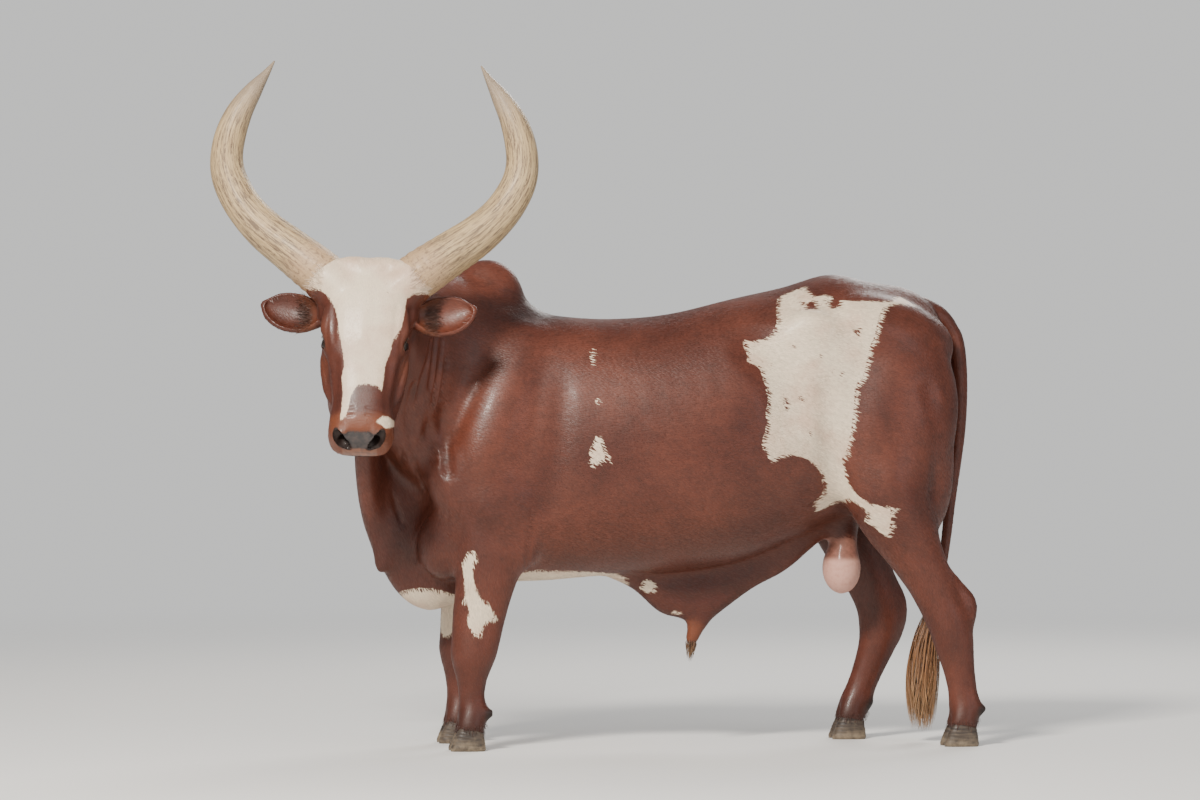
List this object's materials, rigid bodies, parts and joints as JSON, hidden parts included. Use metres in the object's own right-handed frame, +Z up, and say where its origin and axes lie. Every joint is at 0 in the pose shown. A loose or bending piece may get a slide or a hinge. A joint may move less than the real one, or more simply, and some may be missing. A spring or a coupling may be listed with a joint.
{
  "type": "ankole watusi cattle",
  "caption": "Still life-size model of a long-horned humped bull, standing on all fours with its head turned to its left.",
  "frame": {"origin": "on the floor, under the middle of the object's box", "axes": "-X is the way the trunk faces, -Y is the animal's left, where the head is turned, and +Z is up"},
  "size_m": [2.3183, 0.9177, 2.0286],
  "materials": {
    "hide": "short glossy coat, mahogany with cream patches",
    "horn": "worn keratin, cream with dark streaks and grey tips",
    "hoof": "dark horn, faintly ringed",
    "eye": "wet and clear",
    "ear": "thin skin with short hair",
    "bare_skin": "bare or thinly haired skin",
    "switch_hair": "long coarse hair"
  },
  "bodies": {
    "root": {"torso": "hide", "neck": "hide", "head": "hide", "tail": "hide", "foreleg_left": "hide", "foreleg_right": "hide", "hindleg_left": "hide", "hindleg_right": "hide", "ear_left": "ear", "ear_right": "ear", "horn_left": "horn", "horn_right": "horn", "eye_left": "eye", "eye_right": "eye", "scrotum": "bare_skin", "tail_switch": "switch_hair", "sheath_tuft": "switch_hair", "hoof_fore_left_inner": "hoof", "hoof_fore_left_outer": "hoof", "hoof_fore_right_inner": "hoof", "hoof_fore_right_outer": "hoof", "hoof_hind_left_inner": "hoof", "hoof_hind_left_outer": "hoof", "hoof_hind_right_inner": "hoof", "hoof_hind_right_outer": "hoof"}
  },
  "joints": []
}
